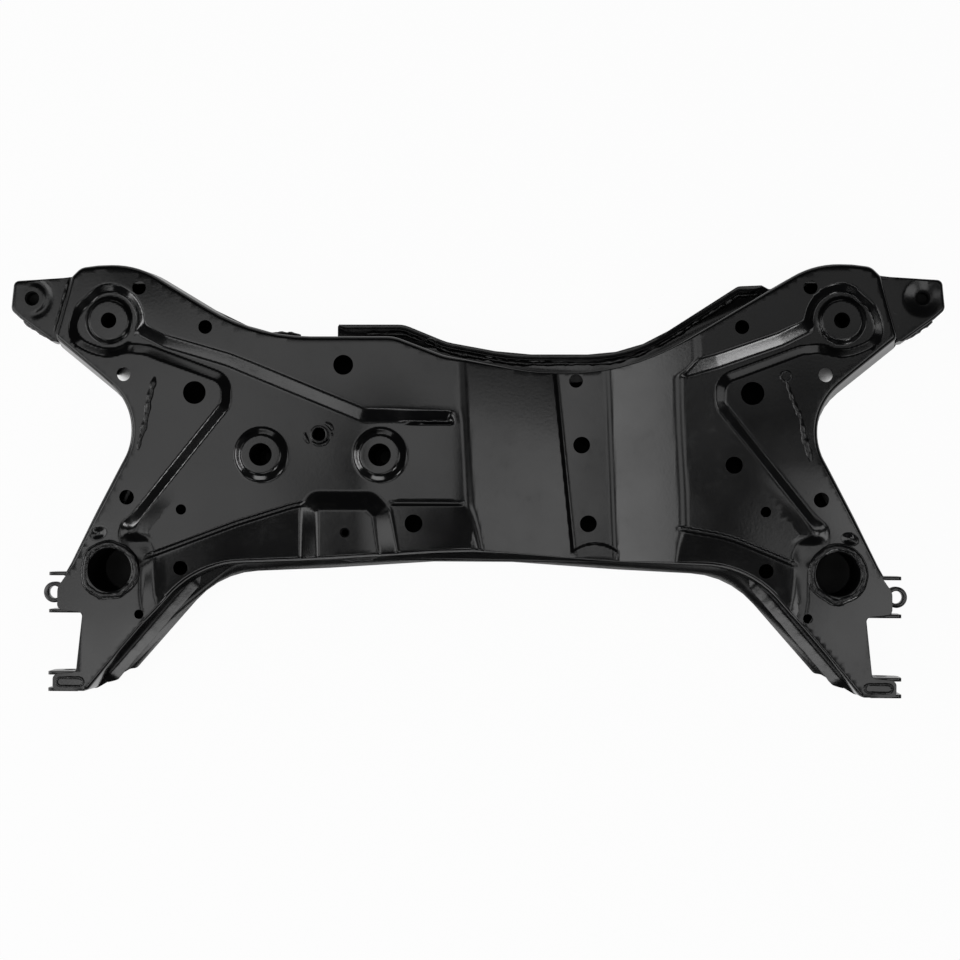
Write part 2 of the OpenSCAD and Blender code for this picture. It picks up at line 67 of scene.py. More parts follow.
# %% A socket that can be added and multiplied
class Wire:
    """An output socket of a node tree that takes part in Python sums."""

    def __init__(self, tree, socket=None):
        self.tree = tree
        self.socket = socket

    def add(self, kind, settings, sockets, out=0):
        made = self.tree.nodes.new(kind)
        for name, value in settings.items():
            setattr(made, name, value)
        for name, value in sockets.items():
            if isinstance(value, Wire):
                self.tree.links.new(value.socket, made.inputs[name])
            else:
                made.inputs[name].default_value = value
        return Wire(self.tree, made.outputs[out])

    def math(self, operation, first, second):
        return self.add("ShaderNodeMath", {"operation": operation}, {0: first, 1: second})

    def __add__(self, other):
        return self.math("ADD", self, other)

    def __mul__(self, other):
        return self.math("MULTIPLY", self, other)

    def __rsub__(self, other):
        return self.math("SUBTRACT", other, self)

    __radd__, __rmul__ = __add__, __mul__


print("socket sums ready")

# %% [markdown]
# Two nodes come back in every finish: a cloud of noise whose blobs have a known size, and a
# stretch of one range of values over another.

# %% Noise and ranges for the finishes
def cloud(wire, place, size_mm, detail, roughness=0.5):
    """Noise whose blobs are about size_mm wide, from 0 to 1."""
    return wire.add(
        "ShaderNodeTexNoise",
        {"noise_dimensions": "3D"},
        {"Vector": place, "Scale": 1 / (size_mm * MM), "Detail": detail, "Roughness": roughness},
    )


def between(wire, value, low, high, out_low=0.0, out_high=1.0):
    """Stretches the part of a value from low to high over a new range, and stops at its ends."""
    return wire.add(
        "ShaderNodeMapRange",
        {"clamp": True},
        {"Value": value, "From Min": low, "From Max": high, "To Min": out_low, "To Max": out_high},
    )


print("noise and ranges ready")

# %% [markdown]
# The paint is a satin black dip coat. Seen close it is not one flat colour: the film has a fine
# orange peel, the gloss wanders a little where it ran and dried, and pale dust sits on it in
# faint clouds. All of that is noise on Object coordinates, so it stays put on every piece.

# %% The black dip coat
clean_black = (0.0024, 0.0025, 0.0028, 1)
dusty_black = (0.0075, 0.0075, 0.0073, 1)


def dip_coat(name, gloss, peel_mm, peel_depth_mm, lump_share, shine=0.5):
    """A black paint with its own gloss and film texture."""
    material = bpy.data.materials.new(name)
    material.use_nodes = True
    tree = material.node_tree
    shader = tree.nodes["Principled BSDF"]
    wire = Wire(tree)
    place = wire.add("ShaderNodeTexCoord", {}, {}, "Object")
    runs = cloud(wire, place, 70, 3)
    dust = cloud(wire, place, 9, 7, 0.68)
    peel = cloud(wire, place, peel_mm, 2)
    lumps = cloud(wire, place, 11, 3)
    dusty = between(wire, dust, 0.52, 0.78) * between(wire, runs, 0.35, 0.7)
    colour = wire.add(
        "ShaderNodeMix",
        {"data_type": "RGBA"},
        {0: dusty, 6: clean_black, 7: dusty_black},
        2,
    )
    rough = gloss + 0.05 * between(wire, runs, 0.3, 0.7) + 0.08 * dusty
    height = peel * (1 - lump_share) + lumps * lump_share
    bump = wire.add(
        "ShaderNodeBump",
        {},
        {"Strength": 1.0, "Distance": peel_depth_mm * MM, "Height": height},
        "Normal",
    )
    tree.links.new(colour.socket, shader.inputs["Base Color"])
    tree.links.new(rough.socket, shader.inputs["Roughness"])
    tree.links.new(bump.socket, shader.inputs["Normal"])
    shader.inputs["Specular IOR Level"].default_value = shine
    return material


plate_paint = dip_coat("plate_paint", 0.13, 2.6, 0.03, 0.15)
weld_paint = dip_coat("weld_paint", 0.22, 3.2, 0.5, 0.55)
inner_paint = dip_coat("inner_paint", 0.55, 2.6, 0.1, 0.3, 0.12)
print("finishes:", [m.name for m in (plate_paint, weld_paint, inner_paint)])

# %% [markdown]
# A finished bmesh becomes one object at the origin that rides on the only body of the frame.
# Everything below is worked out in millimetres, so the mesh shrinks to metres here. Faces are
# shaded smooth, with a crease only where the sheet really turns sharply.

# %% From bmesh to a piece
def piece(name, bm, paint, stands_for=(), crease=38, scale=MM):
    """Makes an object of a bmesh, gives it its paint and puts it on the frame."""
    mesh = bpy.data.meshes.new(name)
    bmesh.ops.scale(bm, vec=(scale, scale, scale), verts=bm.verts)
    bm.to_mesh(mesh)
    bm.free()
    obj = bpy.data.objects.new(name, mesh)
    bpy.context.scene.collection.objects.link(obj)
    mesh.shade_smooth()
    mesh.set_sharp_from_angle(angle=math.radians(crease))
    mesh.materials.append(paint)
    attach(obj, "root")
    if stands_for:
        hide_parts(*stands_for)
    triangles = sum(len(p.vertices) - 2 for p in mesh.polygons)
    print(f"{name}: {triangles} triangles")
    return obj


print("pieces ride on the root body and share one paint slot")

# %% [markdown]
# The sizes repeat the CAD source. Each outline is a list of corners with a radius each.

# %% Sizes and outlines from the CAD source, in millimetres
sheet = 2.6
high_z, low_z, seam_z, trough_z = 78.0, 71.0, 32.0, 46.0
step_h, step_run, band_run = high_z - low_z, 9.0, 14.0
skirt_lean, corner_lean = 5.0, 7.0
sleeve_x, sleeve_y = 363.5, -91.5
side_edge = [
    (422, -214, 6), (422, -196, 6), (398, -194, 4), (392, -135, 4), (418, -132, 6), (418, -110, 14),
    (404, -84, 40), (333, 61.5, 56), (430, 140, 12), (411, 207, 14), (398, 217.5, 18), (339, 218.5, 90),
]
upper_front = [(150, -82, 300), (277, -87, 100), (386, -214, 9)]
upper_rear = [(160, 110.5, 230), (58, 110.5, 200), (-28, 127, 60), (-78, 146, 40), (-218, 146, 200)]
band_foot = [(-340, 147, 8), (-312, 133, 40), (-248, 114, 60), (-110, 57.5, 30), (-16, 57.5, 1)]
island_foot = [(-345, -54, 9), (-243, 74, 22), (-243, 104, 22), (-326, 135, 30), (-353, 137, 4)]
right_band_foot = [(215, 104, 1), (246, 113, 20), (309, 135, 40), (345, 153, 8)]
limb_foot = [(-250, -274, 1), (-316, -142, 20), (-320, -116, 30), (-320, -80, 20)]
print("plate at", high_z, "mm, plateau at", low_z, "mm, seam at", seam_z, "mm")

# %% [markdown]
# `rounded` lays arcs into the corners, and `flipped` mirrors a list for the other half of the
# frame. The plateau is the low ground of the plate, in a left and a right half.

# %% Round the outlines
def flipped(corners):
    return [(-x, y, r) for x, y, r in reversed(corners)]


def rounded(corners, closed=True, step=5.0):
    """Points along a path whose corners are arcs."""
    spots = [np.array(c[:2], float) for c in corners]
    path = []
    for i, (x, y, r) in enumerate(corners):
        p = spots[i]
        if not closed and i in (0, len(corners) - 1):
            path.append(p)
            continue
        into = p - spots[i - 1]
        out = spots[(i + 1) % len(spots)] - p
        into, out = into / np.linalg.norm(into), out / np.linalg.norm(out)
        turn = math.atan2(into[0] * out[1] - into[1] * out[0], into @ out)
        if abs(turn) < 0.01 or r < 2:
            path.append(p)
            continue
        side = math.copysign(1, turn)
        start = p - into * r * math.tan(abs(turn) / 2)
        middle = start + np.array((-into[1], into[0])) * side * r
        steps = max(2, math.ceil(math.degrees(abs(turn)) / step))
        for k in range(steps + 1):
            a = turn * k / steps
            spoke = start - middle
            path.append(middle + np.array((
                spoke[0] * math.cos(a) - spoke[1] * math.sin(a),
                spoke[0] * math.sin(a) + spoke[1] * math.cos(a),
            )))
    return np.array(path)


upper_outline = rounded(
    [(0, -72, 600)] + upper_front + side_edge + upper_rear + flipped(side_edge) + flipped(upper_front)
)
plateau_left = rounded(band_foot + [(20, 57.5, 1), (20, -274, 1)] + limb_foot + island_foot)
plateau_right = rounded(
    flipped(island_foot) + flipped(limb_foot) + [(20, -274, 1), (20, 104, 1)] + right_band_foot
)
band_lines = [rounded(band_foot, closed=False), rounded(right_band_foot, closed=False)]
island_line = rounded(flipped(island_foot), closed=False)
limb_line = rounded(flipped(island_foot)[-1:] + flipped(limb_foot), closed=False)
print("upper outline:", len(upper_outline), "points")

# %% [markdown]
# A press tool is a height for every place on the plan, so the upper shell can be made the same
# way: a flat sheet whose points drop to the height of the die. The die needs to know how far a
# point lies from each of its lines, for all points at once, so these helpers work on arrays.

# %% Distances on the plan
def nearest(points, path, closed=True):
    """Distance from each point to a path, and the place on the path that is nearest."""
    starts = path if closed else path[:-1]
    ends = np.roll(path, -1, axis=0) if closed else path[1:]
    best = np.full(len(points), 1e9)
    spot = np.zeros_like(points)
    for a, b in zip(starts, ends):
        run = b - a
        along = np.clip(((points - a) @ run) / max(run @ run, 1e-9), 0, 1)
        here = a + along[:, None] * run
        gap = np.hypot(points[:, 0] - here[:, 0], points[:, 1] - here[:, 1])
        closer = gap < best
        best[closer] = gap[closer]
        spot[closer] = here[closer]
    return best, spot


def within(points, path):
    """True for each point inside a closed path."""
    x, y = points.T
    odd = np.zeros(len(points), bool)
    for a, b in zip(path, np.roll(path, -1, axis=0)):
        if a[1] != b[1]:
            crosses = (a[1] > y) != (b[1] > y)
            odd ^= crosses & (x < a[0] + (y - a[1]) / (b[1] - a[1]) * (b[0] - a[0]))
    return odd


def outside_by(points, path):
    """How far each point lies outside a closed path, negative inside it."""
    gap = nearest(points, path)[0]
    return np.where(within(points, path), -gap, gap)


def over(value, soft):
    """The part of a value above zero, with a rounded start."""
    return np.where(value < -soft, 0, np.where(value > soft, value, (value + soft) ** 2 / (4 * soft)))


def ramp(value, run, soft):
    """From 0 to 1 over a run, straight in the middle and rounded at both ends."""
    return (over(value, soft) - over(value - run, soft)) / run


def soft_step(value):
    """From 0 to 1 with a level start and end."""
    value = np.clip(value, 0, 1)
    return value * value * (3 - 2 * value)


def lower_of(a, b, blend):
    """The lower of two heights, with a rounded change from one to the other."""
    share = np.clip(0.5 + 0.5 * (b - a) / blend, 0, 1)
    return b * (1 - share) + a * share - blend * share * (1 - share)


def round_at(points, x, y):
    return np.hypot(points[:, 0] - x, points[:, 1] - y)


print("plan helpers ready")

# %% [markdown]
# Now the die itself. The islands on the limbs and the rear strip stand high, the plateau
# between them is one step lower, the rack bosses, pads and the front hat rise from it, and the
# trough sinks into the right half. Here are the places and sizes of all of them.

# %% Places on the die
pads = [(-367.5, 160), (367.5, 160)]
pad_flat, pad_h, recess_r, recess_run = 40.0, 3.5, 28.0, 8.0
bosses = [(-212, 25), (-92, 25)]
rack_flat, rack_foot, rack_h = 40.0, 54.0, 6.0
hat_top = np.array(
    [(-154, -130), (-83, -130), (-98, -37), (-105, -30), (-152, -30), (-154, -33)], float
)
hat_h, hat_run = 6.0, 18.0
trough_rear_y, trough_front_y = 170.0, -130.0
trough_left, trough_right = (-14, 5), (222, 236)
floor_left, floor_right = (78, 109), (134, 146)
sill_h, lip_h, lip_x, lip_y, lip_half = 1.8, 1.5, 124, -62, 24
fold_h, fold_w, groove_h = 6.0, 60.0, 1.2
groove_gap = (-167, -83)
front_fold = rounded(
    [(-330, -79, 1), (-236, -44, 120), (-169, -23, 120), (-80, -23, 1), (20, -23, 1)], closed=False
)
right_fold = rounded([(190, -44, 1), (257, -56, 150), (325, -84, 1)], closed=False)
slot_y, slot_h = 59, 4.5
limb_share, limb_run = 0.6, 14.0
limb_rise = step_h * limb_share
limb_hollows = [((-376, -55), (10, 7), 20, 1.4), ((375, -57), (10, 7), -20, 1.4)]
sheet_wave = 0.16
print("limbs stand", round(limb_rise, 1), "mm over the plateau")

# %% [markdown]
# The trough is a tapered channel. Its floor meets the left wall in a low sill, and a raised lip
# shaped like a lens closes it where it runs out at the front.

# %% The trough
def trough_height(points):
    x, y = points.T
    t = (trough_rear_y - y) / (trough_rear_y - trough_front_y)
    ends = [a + (b - a) * t for a, b in (trough_left, floor_left, floor_right, trough_right)]
    rise = high_z - trough_z
    left = over(ends[1] - x, 3) * (rise - sill_h) / (ends[1] - ends[0])
    left += sill_h * ramp(ends[1] - x, 3, 1)
    right = over(x - ends[2], 4) * rise / (ends[3] - ends[2])
    return trough_z + left + right


def trough_lip(points):
    x, y = points.T
    bow = ((x - lip_x) / lip_half) ** 2
    return lip_h * ramp(lip_y - 9 * bow - y, 2, 0.7) * np.clip((1 - bow) * 4, 0, 1)


print("trough floor:", trough_height(np.array([(115.0, 20.0)])).round(1))

# %% [markdown]
# Along the front the plateau folds down behind a thin groove that leaves a gap for the hat. A
# black slot keeps its wall where the plateau rises beside the trough, and the limbs have soft
# oval hollows.

# %% Folds, slot and hollows
def fold_drop(points, fold, groove_end):
    """How far the sheet folds down in front of a line, with a flat thin groove along the line."""
    gap, spot = nearest(points, fold, closed=False)
    x, y = points.T
    from_end = np.minimum(x - fold[:, 0].min(), fold[:, 0].max() - x)
    front = np.where(y < spot[:, 1], gap, -gap)
    fall = fold_h / fold_w * over(front - 3, 3) * np.clip(from_end / 20, 0, 1)
    groove = groove_h * (1 - ramp(gap - 1.2, 1.6, 0.5)) * np.clip(from_end / 10, 0, 1)
    beside_hat = np.clip(np.maximum(groove_gap[0] - x, x - groove_gap[1]) / 6, 0, 1)
    return fall + groove * np.clip((groove_end - x) / 8, 0, 1) * beside_hat


def slot_depth(points):
    x, y = points.T
    wall = np.clip(1 - np.where(y > slot_y, (y - slot_y) / 10, (slot_y - y) / 4), 0, 1)
    return slot_h * wall * soft_step((x + 75) / 40) * (1 - soft_step((x + 25) / 9))


def hollow(points, place, half, heading, depth):
    """An oval hollow with soft sides; half is its half length and half width."""
    turn = math.radians(heading)
    x, y = points[:, 0] - place[0], points[:, 1] - place[1]
    along = (x * math.cos(turn) + y * math.sin(turn)) / half[0]
    across = (y * math.cos(turn) - x * math.sin(turn)) / half[1]
    share = np.clip((1 - np.hypot(along, across)) / 0.9, 0, 1)
    return depth * share * share * (3 - 2 * share)


print("folds at the front:", len(front_fold), "and", len(right_fold), "points")

# %% [markdown]
# The step between the two levels isn't the same everywhere: the islands slope down to the limbs
# at the front, the walls are wider along the strip than round the islands, and the recess round
# each pad is shaped like an egg.

# %% The steps
def high_share(points):
    """How much of the full step is left."""
    return limb_share + (1 - limb_share) * soft_step((points[:, 1] + 90) / 110)


def run_of_step(points):
    """Width of the step on the plan, blended from the widths along the lines near a point."""
    right_half = np.stack((abs(points[:, 0]), points[:, 1]), axis=1)
    gaps = [
        (np.minimum(*[nearest(points, line, False)[0] for line in band_lines]), band_run),
        (nearest(right_half, island_line, False)[0], step_run),
        (nearest(right_half, limb_line, False)[0], limb_run),
        (abs(round_at(right_half, *pads[1]) - recess_r), recess_run),
    ]
    weights = [(gap + 2) ** -4.0 for gap, _ in gaps]
    return sum(w * run for w, (_, run) in zip(weights, gaps)) / sum(weights)


def recess_at(points, x, y):
    """Distance outside the recess round a pad."""
    away = points - (x, y)
    turn = np.degrees(np.arctan2(away[:, 1], away[:, 0] * -math.copysign(1, x))) % 360
    long_end = 5.5 * np.exp(-(((turn - 205) / 26) ** 2))
    flat_end = 3.5 * np.exp(-(((turn - 132) / 22) ** 2))
    return np.hypot(away[:, 0], away[:, 1]) - (28.5 + long_end - flat_end)


print("step widths:", run_of_step(np.array([(-300.0, 60.0), (-110.0, 58.0)])).round(1))

# %% [markdown]
# One function puts it all together: the levels first, then the pads, bosses and hat that rise,
# the folds and hollows that sink, and a slight wave that no pressed sheet is without.

# %% The height of the plate
def plate_height(points):
    """Height of the pressed plate before its edge rolls over into the skirt."""
    low = np.minimum(outside_by(points, plateau_left), outside_by(points, plateau_right))
    for x, y in pads:
        low = lower_of(low, recess_at(points, x, y), 6)
    x, y = points.T
    saddle = np.exp(-(((abs(x) - 332) / 16) ** 2) - ((y + 66) / 14) ** 2)
    run = run_of_step(points)
    share = ramp(low + 12 * saddle, run + 24 * saddle, np.interp(run, (9, 13), (0.9, 2.2)))
    beside_trough = ramp(x + 105, 97, 12) * (x < 100)
    z = low_z + step_h * (high_share(points) * share * (1 - beside_trough) + beside_trough)
    foot = np.clip(1 - np.where(low > 0, low / run, -low / 14), 0, 1) * (abs(x) > 240)
    z -= slot_depth(points) + step_h * (1 - high_share(points)) * foot * soft_step((y + 64) / 12)
    for x, y in pads:
        z += pad_h * (1 - ramp(round_at(points, x, y) - pad_flat / 2, pad_h, 1.2))
    for x, y in bosses:
        away = round_at(points, x, y) - rack_flat / 2
        z += rack_h * (1 - ramp(away, (rack_foot - rack_flat) / 2, 1.8))
    hat = 1 - ramp(outside_by(points, hat_top), hat_run, 2.4)
    for fold, groove_end in ((front_fold, -6), (right_fold, 330)):
        z -= fold_drop(points, fold, groove_end) * (1 - hat)
    z += hat_h * hat
    for place, half, heading, depth in limb_hollows:
        z -= hollow(points, place, half, heading, depth)
    x, y = points.T
    long_wave = np.sin(x / 31 + y / 53) * np.sin(y / 27 - x / 71)
    z += sheet_wave * (long_wave + 0.6 * np.sin(x / 17 + y / 23 + 1.3))
    return lower_of(z, trough_height(points), 2) + trough_lip(points)


tried = np.array([(-212.0, 25.0), (115.0, 20.0), (-300.0, 60.0)])
print("die heights:", plate_height(tried).round(1))

# %% [markdown]
# A pressing starts as a cut blank. The blank here is a grid of squares, cut to its outline and
# holes with Boolean modifiers, which leave the grid alone inside.

# %% Cut a blank from a grid
board_h = 4


def only(geom, kind):
    """The items of one kind among those that a bmesh step has made."""
    return [g for g in geom if isinstance(g, kind)]


def prism(path, bottom, top):
    """A closed block over a path."""
    bm = bmesh.new()
    face = bm.faces.new([bm.verts.new((x, y, bottom)) for x, y in path])
    raised = bmesh.ops.extrude_face_region(bm, geom=[face])["geom"]
    bmesh.ops.translate(bm, vec=(0, 0, top - bottom), verts=only(raised, bmesh.types.BMVert))
    bmesh.ops.recalc_face_normals(bm, faces=bm.faces)
    return bm


def loose_object(bm):
    """An object for a modifier to work on, thrown away after use."""
    mesh = bpy.data.meshes.new("cutting")
    bm.to_mesh(mesh)
    bm.free()
    obj = bpy.data.objects.new("cutting", mesh)
    bpy.context.scene.collection.objects.link(obj)
    return obj


def put_in_order(bm):
    """Sorts points and faces by place, so that each run merges the same points."""
    across = Vector((97.3, 1, 0))
    bm.verts.sort(key=lambda v: v.co.dot(across))
    bm.faces.sort(key=lambda f: f.calc_center_median().dot(across))


def blank(path, holes, cell):
    """A flat sheet at height 0, cut to a path and to round holes of (x, y, diameter)."""
    low, high = path.min(0) - cell, path.max(0) + cell
    count = np.ceil((high - low) / cell).astype(int)
    size, middle = count * cell, low + count * cell / 2
    bm = bmesh.new()
    spread = Matrix.Translation((*middle, 0)) @ Matrix.Diagonal((*size, 1, 1))
    columns, rows = int(count[0]), int(count[1])
    bmesh.ops.create_grid(bm, x_segments=columns, y_segments=rows, size=0.5, matrix=spread)
    raised = bmesh.ops.extrude_face_region(bm, geom=bm.faces[:])["geom"]
    bmesh.ops.translate(bm, vec=(0, 0, board_h), verts=only(raised, bmesh.types.BMVert))
    bmesh.ops.recalc_face_normals(bm, faces=bm.faces)
    board = loose_object(bm)
    cutters = bmesh.new()
    for x, y, d in holes:
        bmesh.ops.create_cone(
            cutters, cap_ends=True, segments=max(32, int(d * 2)), radius1=d / 2, radius2=d / 2,
            depth=40, matrix=Matrix.Translation((x, y, 0)),
        )
    tools = [
        (loose_object(prism(path, -10, 10)), "INTERSECT"),
        (loose_object(cutters), "DIFFERENCE"),
    ]
    for tool, operation in tools:
        cut = board.modifiers.new(operation, "BOOLEAN")
        cut.operation, cut.solver, cut.object = operation, "MANIFOLD", tool
    shaped = board.evaluated_get(bpy.context.evaluated_depsgraph_get())
    bm = bmesh.new()
    bm.from_mesh(shaped.to_mesh())
    for obj in [board] + [tool for tool, _ in tools]:
        bpy.data.objects.remove(obj)
    bm.normal_update()
    under = [f for f in bm.faces if f.normal.z < 0.5 or f.calc_center_median().z < board_h - 0.1]
    bmesh.ops.delete(bm, geom=under, context="FACES")
    bmesh.ops.translate(bm, vec=(0, 0, -board_h), verts=bm.verts)
    put_in_order(bm)
    bmesh.ops.remove_doubles(bm, verts=bm.verts, dist=0.05)
    return bm


print("blanks can be cut")

# %% [markdown]
# Where the die bends, the squares are split again, so the rounded edges get fine faces and the
# flats stay coarse.

# %% Split the faces on the bends
def plan_points(bm):
    return np.array([v.co.xy for v in bm.verts], float)


def split_bends(bm, height, cell, limit):
    """Splits the faces where the height bends by more than a limit over one cell."""
    points = plan_points(bm)
    middle = height(points)
    bend = np.zeros(len(points))
    for way in ((0.6, 0), (0, 0.6), (0.45, 0.45), (0.45, -0.45)):
        shift = np.array(way) * cell
        bend = np.maximum(bend, abs(height(points + shift) + height(points - shift) - 2 * middle))
    bm.verts.index_update()
    keen = bend > limit
    bent = [f for f in bm.faces if any(keen[v.index] for v in f.verts)]
    edges = dict.fromkeys(e for f in bent for e in f.edges)
    bmesh.ops.subdivide_edges(bm, edges=list(edges), cuts=1, use_grid_fill=True)


# %% [markdown]
# The edge of the plate rolls over a radius into a skirt that leans out as it goes down to the
# weld seam. A steep wall would stretch the grid, so the blank stops short of the outline, and
# its rim has to be found again after the cut.

# %% The rim of a blank
def inset(path, depth):
    """A closed counterclockwise path moved inwards by a depth for each point, without doubles."""
    before, after = path - np.roll(path, 1, axis=0), np.roll(path, -1, axis=0) - path
    unit = lambda v: v / np.maximum(np.linalg.norm(v, axis=1), 1e-9)[:, None]
    left = lambda v: np.stack((-v[:, 1], v[:, 0]), axis=1)
    a, b = left(unit(before)), left(unit(after))
    mitre = unit(a + b)
    moved = path + mitre * (depth / np.maximum(0.4, (mitre * a).sum(1)))[:, None]
    return moved[np.linalg.norm(moved - np.roll(moved, 1, axis=0), axis=1) > 0.06]


def outer_rim(bm):
    """The edges of the outer boundary in order, found from its leftmost point."""
    rim, ahead = {}, [min(bm.verts, key=lambda v: v.co.x)]
    while ahead:
        for e in ahead.pop().link_edges:
            if e.is_boundary and e not in rim:
                rim[e] = True
                ahead += e.verts
    return rim


# %% [markdown]
# Forming moves the blank to the die and extrudes its rim down in rings: six round the roll and
# two down the skirt. Where the pivot brackets come through, a window leaves the skirt out. The
# sheet gets its thickness at the end.

# %% Form a blank over a die
rings = [(15, 0), (30, 0), (45, 0), (60, 0), (75, 0), (90, 0), (90, 0.5), (90, 1)]


def form(bm, height, outline, lean, foot_z, window):
    """Moves a blank to the die, rolls its rim over in rings and lets it down to the foot."""
    points = plan_points(bm)
    rim_gap, rim_spot = nearest(points, outline)
    plate, lean_here = height(points), lean(rim_spot)
    roll = np.maximum(rim_gap - lean_here, 0.2)
    bm.verts.index_update()
    for v in bm.verts:
        v.co.z = plate[v.index]
    rim = [e for e in outer_rim(bm) if not all(window(rim_spot[v.index]) for v in e.verts)]
    start = {v: v.index for e in rim for v in e.verts}
    for degrees, share in rings:
        turn = math.radians(degrees)
        grown = bmesh.ops.extrude_edge_only(bm, edges=rim)["geom"]
        rim = only(grown, bmesh.types.BMEdge)
        origin = {}
        for v in only(grown, bmesh.types.BMVert):
            beside = (e.other_vert(v) for e in v.link_edges)
            origin[v] = start[next(n for n in beside if n in start)]
        for v, i in origin.items():
            way = (points[i] - rim_spot[i]) / max(rim_gap[i], 1e-6)
            spot = rim_spot[i] + way * (lean_here[i] * (1 - share) + roll[i] * (1 - math.sin(turn)))
            top = plate[i] - roll[i] * (1 - math.cos(turn))
            v.co = (spot[0], spot[1], top + (foot_z - top) * share)
        start = origin
    many = [f for f in bm.faces if len(f.verts) > 4]
    bmesh.ops.triangulate(bm, faces=many, ngon_method="BEAUTY")
    bmesh.ops.recalc_face_normals(bm, faces=bm.faces)


def thicken(bm, depth):
    """Gives a sheet its thickness below its outer skin, with closed rims."""
    if sum(f.normal.z for f in bm.faces) < 0:
        bmesh.ops.reverse_faces(bm, faces=bm.faces)
    obj = loose_object(bm)
    wall = obj.modifiers.new("thickness", "SOLIDIFY")
    wall.thickness, wall.offset = depth, -1
    thick = bmesh.new()
    thick.from_mesh(obj.evaluated_get(bpy.context.evaluated_depsgraph_get()).to_mesh())
    bpy.data.objects.remove(obj)
    return thick


print("a form has", len(rings), "rings round its rim")

# %% [markdown]
# The upper shell carries most of what the camera sees: gauge and access holes in pairs, single
# holes that belong to the steering rack side, two sleeve holes and the bolt holes of the pads.

# %% Holes of the upper shell
pair_holes = [
    (336, 192.5, 14), (268.5, 153, 14), (351, 105.5, 14), (279, 87, 23), (347, -18.5, 15),
    (293, -30.5, 10.5), (293.5, -89.5, 14.5), (334, -136, 9.5), (367.5, 160, 16),
    (sleeve_x, sleeve_y, 50.5),
]
single_holes = [
    (-129, 115, 20), (-58, -43.5, 18), (261.5, 16, 17), (104, 101.5, 14), (110, 36.5, 17),
    (117, -43, 17), (-212, 25, 23), (-92, 25, 23), (-153, 45.5, 13), (-126.5, -53, 10),
]
upper_holes = [(s * x, y, d) for s in (-1, 1) for x, y, d in pair_holes] + single_holes
print("holes in the upper shell:", len(upper_holes))

# %% [markdown]
# The skirt leans out more at the rear corners than along the limbs, and the radius of the roll
# is smaller in the trough. At the brackets the skirt has its windows.

# %% The edge of the upper shell
def skirt_lean_at(points):
    """How far the foot of the skirt stands outside its top."""
    x, y = abs(points[:, 0]), points[:, 1]
    corner = skirt_lean + (corner_lean - skirt_lean) * np.clip((x - 333) / 50, 0, 1)
    crown = np.where(y > 150, np.clip((418 - x) / 40, 0, 1), np.clip((330 - x) / 12, 0, 1))
    rear = corner + (2.0 - corner) * crown
    limbs = np.maximum(0.6, skirt_lean / 2 * np.minimum(1, (390 - x) / 40))
    rise = np.clip((plate_height(points) - seam_z) / (high_z - seam_z), 0.2, 1)
    return (limbs + (rear - limbs) * soft_step((y - 10) / 90)) * rise


def at_bracket(spot):
    x, y = abs(spot[0]), spot[1]
    return (x > 390 and -135.3 < y < -93.7) or (x > 396 and y < -193.5)


def edge_roll(points):
    """Radius of the rolled edge: tight in the trough, almost none over the brackets."""
    x, y = points.T
    trough = np.clip((x - 5) / 30, 0, 1) * np.clip((235 - x) / 30, 0, 1)
    usual = np.where(y < -60, 3.4, 4.4) * (1 - 0.7 * trough)
    return np.where((abs(x) > 388) & (y < -92), 0.4, usual)


def edge_depth(points):
    return skirt_lean_at(points) + edge_roll(points)


depths = edge_depth(upper_outline)
print("edge depth from", depths.min().round(1), "to", depths.max().round(1), "mm")

# %% [markdown]
# The split faces would show as a faint hatch on the slopes. The die knows its own slope, so the
# upper skin is shaded with that, apart from the rolled edge.

# %% Shade by the slope of the die
def press_normals(obj, step=0.4):
    """Sets the normals of the upper skin from the die."""
    mesh = obj.data
    spots = np.empty(len(mesh.vertices) * 3)
    mesh.vertices.foreach_get("co", spots)
    flat = spots.reshape(-1, 3)[:, :2] / MM
    slopes = [plate_height(flat + way) - plate_height(flat - way) for way in np.eye(2) * step]
    true = np.stack((-slopes[0], -slopes[1], np.full(len(flat), 2 * step)), axis=1)
    true /= np.linalg.norm(true, axis=1)[:, None]
    rim_gap, rim_spot = nearest(flat, upper_outline)
    true[rim_gap < edge_depth(rim_spot) + 0.5] = 0
    corner = np.empty(len(mesh.loops), np.int32)
    mesh.loops.foreach_get("vertex_index", corner)
    facing = np.empty(len(mesh.polygons) * 3)
    mesh.polygons.foreach_get("normal", facing)
    sides = np.empty(len(mesh.polygons), np.int32)
    mesh.polygons.foreach_get("loop_total", sides)
    wanted = true[corner]
    wanted[(np.repeat(facing.reshape(-1, 3), sides, axis=0) * wanted).sum(1) < 0.87] = 0
    mesh.normals_split_custom_set(wanted)


# %% [markdown]
# Now the shell goes through all the steps: cut, split twice, formed, thickened and shaded.

# %% The pressed upper shell
cell = 6.0
shell = blank(inset(upper_outline, depths), upper_holes, cell)
split_bends(shell, plate_height, cell, 0.3)
split_bends(shell, plate_height, cell / 2, 0.16)
form(shell, plate_height, upper_outline, skirt_lean_at, seam_z, at_bracket)
upper = piece("pressed_upper_shell", thicken(shell, sheet), plate_paint, ["upper_shell"], crease=42)
press_normals(upper)

# %% [markdown]
# The smaller parts keep their CAD shape, but no stamped or turned part has knife edges. A copy
# of the CAD mesh is merged, its flat triangles are joined, and its sharp edges get a bevel.

# %% Round the edges of the CAD parts
lift_above = 66


